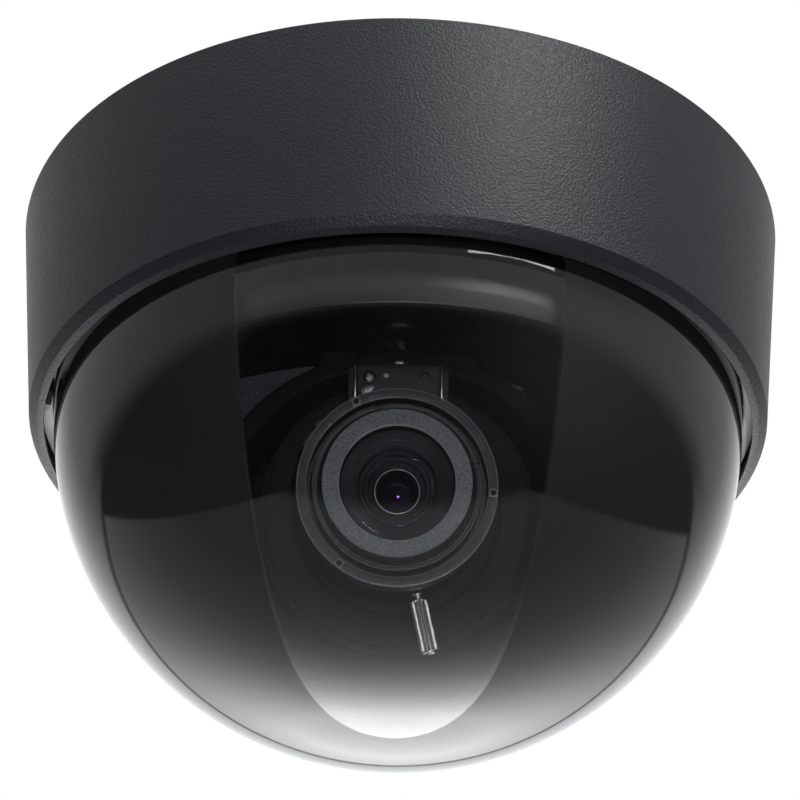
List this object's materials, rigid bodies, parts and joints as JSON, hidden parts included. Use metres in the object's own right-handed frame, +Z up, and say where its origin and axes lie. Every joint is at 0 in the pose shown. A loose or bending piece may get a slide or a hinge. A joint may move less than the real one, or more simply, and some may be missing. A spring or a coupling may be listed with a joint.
{
  "type": "indoor dome security camera",
  "caption": "Black indoor dome camera with a tapered drum cover, a clear bubble and a varifocal camera module on a pan, tilt and roll mount behind a slotted liner.",
  "frame": {"origin": "centre of the base plate's flat ceiling face", "axes": "+Z up to the ceiling, lens looking towards -Y and down, +X to the right as one looks at the lens"},
  "size_m": [0.12, 0.12, 0.0885],
  "materials": {
    "textured_plastic": "black spark-textured moulding",
    "clear_bubble": "clear polished acrylic",
    "gasket": "off-white silicone",
    "inner_plastic": "black satin moulding",
    "liner_plastic": "black moulding, smooth outside and grained inside",
    "lens_plastic": "black satin lens moulding",
    "coated_glass": "coated lens glass",
    "steel": "bright plated",
    "dark_steel": "black oxide",
    "board": "green solder mask",
    "chip": "moulded epoxy",
    "capacitor": "printed sleeve without text",
    "terminal_green": "moulded nylon",
    "white_nylon": "natural nylon",
    "rubber": "black EPDM"
  },
  "bodies": {
    "base": {"base_plate": "inner_plastic", "cable_grommet": "rubber", "power_board": "board", "power_capacitor": "capacitor", "power_inductor": "chip", "terminal_block": "terminal_green", "harness_socket": "white_nylon"},
    "cover": {"housing_cover": "textured_plastic", "dome_bubble": "clear_bubble", "dome_gasket": "gasket", "bubble_retaining_ring": "inner_plastic", "bubble_clip_1": "inner_plastic", "bubble_clip_2": "inner_plastic", "bubble_clip_3": "inner_plastic"},
    "pan_frame": {"turntable": "inner_plastic", "shroud_ring": "inner_plastic", "liner": "liner_plastic", "yoke": "inner_plastic", "pan_washer": "white_nylon", "pan_pivot_screw": "steel", "yoke_screw_1": "dark_steel", "yoke_screw_2": "dark_steel"},
    "tilt_frame": {"cradle": "inner_plastic", "tilt_screw_left": "dark_steel", "tilt_screw_right": "dark_steel", "tilt_washer_left": "white_nylon", "tilt_washer_right": "white_nylon"},
    "camera_module": {"module_housing": "inner_plastic", "roll_lock_nut": "lens_plastic", "sensor_board": "board", "rear_board": "board", "board_header": "chip", "wire_connector": "white_nylon", "image_sensor": "chip", "sensor_window": "coated_glass", "lens_barrel": "lens_plastic", "rear_element": "coated_glass", "iris_diaphragm": "dark_steel", "iris_block": "lens_plastic", "iris_block_screw": "dark_steel"},
    "zoom_ring": {"zoom_ring": "lens_plastic"},
    "zoom_screw": {"zoom_lock_screw": "steel"},
    "focus_ring": {"focus_ring": "lens_plastic", "focus_lock_screw": "steel"},
    "front_cell": {"front_cell": "lens_plastic", "front_element": "coated_glass"}
  },
  "joints": [
    {"name": "cover_release", "type": "slide", "parent": "base", "child": "cover", "axis": [0, 0, -1], "range_m": [0, 0.1]},
    {"name": "pan", "type": "hinge", "parent": "base", "child": "pan_frame", "pos_m": [0, 0, -0.0145], "axis": [0, 0, 1], "range_deg": [-175, 175]},
    {"name": "tilt", "type": "hinge", "parent": "pan_frame", "child": "tilt_frame", "pos_m": [0, 0, -0.0517], "axis": [1, 0, 0], "range_deg": [-21, 69]},
    {"name": "lens_roll", "type": "hinge", "parent": "tilt_frame", "child": "camera_module", "pos_m": [0, 0, -0.0517], "axis": [0, -0.9336, -0.3584], "range_deg": [-90, 90]},
    {"name": "zoom", "type": "hinge", "parent": "camera_module", "child": "zoom_ring", "pos_m": [0, -0.01354, -0.0569], "axis": [0, -0.9336, -0.3584], "range_deg": [-60, 30]},
    {"name": "zoom_lock", "type": "hinge", "parent": "zoom_ring", "child": "zoom_screw", "pos_m": [0, -0.01456, -0.05729], "axis": [0.225, 0.3492, -0.9097], "range_deg": [0, 360]},
    {"name": "focus", "type": "hinge", "parent": "camera_module", "child": "focus_ring", "pos_m": [0, -0.02147, -0.05994], "axis": [0, -0.9336, -0.3584], "range_deg": [-60, 60]},
    {"name": "front_travel", "type": "slide", "parent": "camera_module", "child": "front_cell", "axis": [0, -0.9336, -0.3584], "range_m": [-0.0006, 0.0006]}
  ],
  "couplings": [
    {"joint": "front_travel", "follows": "focus", "m_per_rad": 0.0005}
  ]
}
